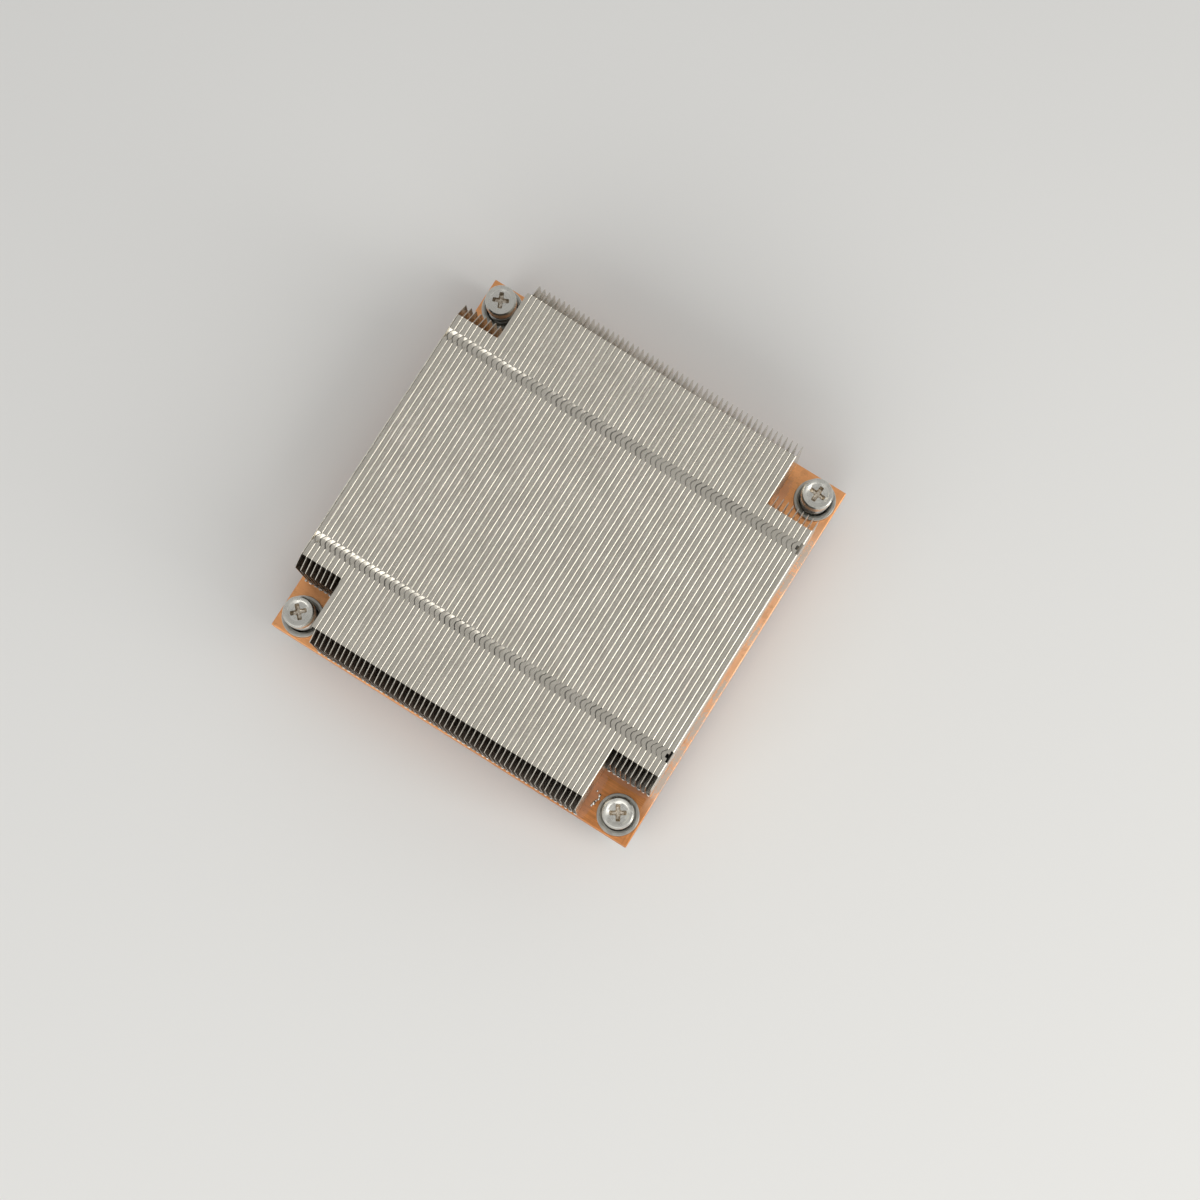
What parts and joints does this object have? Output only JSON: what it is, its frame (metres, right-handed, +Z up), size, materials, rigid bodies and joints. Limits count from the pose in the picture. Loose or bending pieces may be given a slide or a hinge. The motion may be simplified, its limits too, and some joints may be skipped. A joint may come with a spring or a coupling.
{
  "type": "passive server cpu heatsink",
  "caption": "Passive heatsink for a one-unit server processor: soldered stack of interlocked aluminium fins on a copper plate, with spring-loaded captive corner screws.",
  "frame": {"origin": "centre of the plate's underside, the face that meets the processor", "axes": "+Z up through the fins, fins run along Y, fins are stacked along X"},
  "size_m": [0.09, 0.09, 0.0335],
  "materials": {
    "copper": "bare machined copper with fine lines",
    "fin_aluminium": "plain rolled aluminium strip",
    "cup_steel": "turned, nickel plated",
    "spring_steel": "bright spring wire",
    "screw_nickel": "nickel plated",
    "ring_steel": "plain spring steel"
  },
  "bodies": {
    "heatsink": {"base_plate": "copper", "end_fin": "fin_aluminium", "long_fins_01": "fin_aluminium", "long_fins_02": "fin_aluminium", "long_fins_03": "fin_aluminium", "long_fins_04": "fin_aluminium", "long_fins_05": "fin_aluminium", "long_fins_06": "fin_aluminium", "long_fins_07": "fin_aluminium", "long_fins_08": "fin_aluminium", "long_fins_09": "fin_aluminium", "long_fins_10": "fin_aluminium", "long_fins_11": "fin_aluminium", "long_fins_12": "fin_aluminium", "long_fins_13": "fin_aluminium", "long_fins_14": "fin_aluminium", "long_fins_15": "fin_aluminium", "long_fins_16": "fin_aluminium", "long_fins_17": "fin_aluminium", "long_fins_18": "fin_aluminium", "short_fin_left_1": "fin_aluminium", "short_fin_left_2": "fin_aluminium", "short_fin_left_3": "fin_aluminium", "short_fin_left_4": "fin_aluminium", "short_fin_left_5": "fin_aluminium", "short_fin_left_6": "fin_aluminium", "short_fin_left_7": "fin_aluminium", "short_fin_left_8": "fin_aluminium", "short_fin_right_1": "fin_aluminium", "short_fin_right_2": "fin_aluminium", "short_fin_right_3": "fin_aluminium", "short_fin_right_4": "fin_aluminium", "short_fin_right_5": "fin_aluminium", "short_fin_right_6": "fin_aluminium", "short_fin_right_7": "fin_aluminium", "short_fin_right_8": "fin_aluminium", "short_fin_right_9": "fin_aluminium", "spring_back_left": "spring_steel", "spring_back_right": "spring_steel", "spring_cups": "cup_steel", "spring_front_left": "spring_steel", "spring_front_right": "spring_steel"},
    "retainer_front_left": {"retaining_ring_front_left": "ring_steel"},
    "screw_front_left": {"captive_screw_front_left": "screw_nickel"},
    "retainer_front_right": {"retaining_ring_front_right": "ring_steel"},
    "screw_front_right": {"captive_screw_front_right": "screw_nickel"},
    "retainer_back_right": {"retaining_ring_back_right": "ring_steel"},
    "screw_back_right": {"captive_screw_back_right": "screw_nickel"},
    "retainer_back_left": {"retaining_ring_back_left": "ring_steel"},
    "screw_back_left": {"captive_screw_back_left": "screw_nickel"}
  },
  "joints": [
    {"name": "screw_press_front_left", "type": "slide", "parent": "heatsink", "child": "retainer_front_left", "axis": [0, 0, 1], "range_m": [-0.003, 0], "stiffness_N_per_m": 19500, "deforming": ["spring_front_left"]},
    {"name": "screw_turn_front_left", "type": "hinge", "parent": "retainer_front_left", "child": "screw_front_left", "pos_m": [-0.04, -0.04, 0.0119], "axis": [0, 0, 1], "continuous": true},
    {"name": "screw_press_front_right", "type": "slide", "parent": "heatsink", "child": "retainer_front_right", "axis": [0, 0, 1], "range_m": [-0.003, 0], "stiffness_N_per_m": 19500, "deforming": ["spring_front_right"]},
    {"name": "screw_turn_front_right", "type": "hinge", "parent": "retainer_front_right", "child": "screw_front_right", "pos_m": [0.04, -0.04, 0.0119], "axis": [0, 0, 1], "continuous": true},
    {"name": "screw_press_back_right", "type": "slide", "parent": "heatsink", "child": "retainer_back_right", "axis": [0, 0, 1], "range_m": [-0.003, 0], "stiffness_N_per_m": 19500, "deforming": ["spring_back_right"]},
    {"name": "screw_turn_back_right", "type": "hinge", "parent": "retainer_back_right", "child": "screw_back_right", "pos_m": [0.04, 0.04, 0.0119], "axis": [0, 0, 1], "continuous": true},
    {"name": "screw_press_back_left", "type": "slide", "parent": "heatsink", "child": "retainer_back_left", "axis": [0, 0, 1], "range_m": [-0.003, 0], "stiffness_N_per_m": 19500, "deforming": ["spring_back_left"]},
    {"name": "screw_turn_back_left", "type": "hinge", "parent": "retainer_back_left", "child": "screw_back_left", "pos_m": [-0.04, 0.04, 0.0119], "axis": [0, 0, 1], "continuous": true}
  ]
}
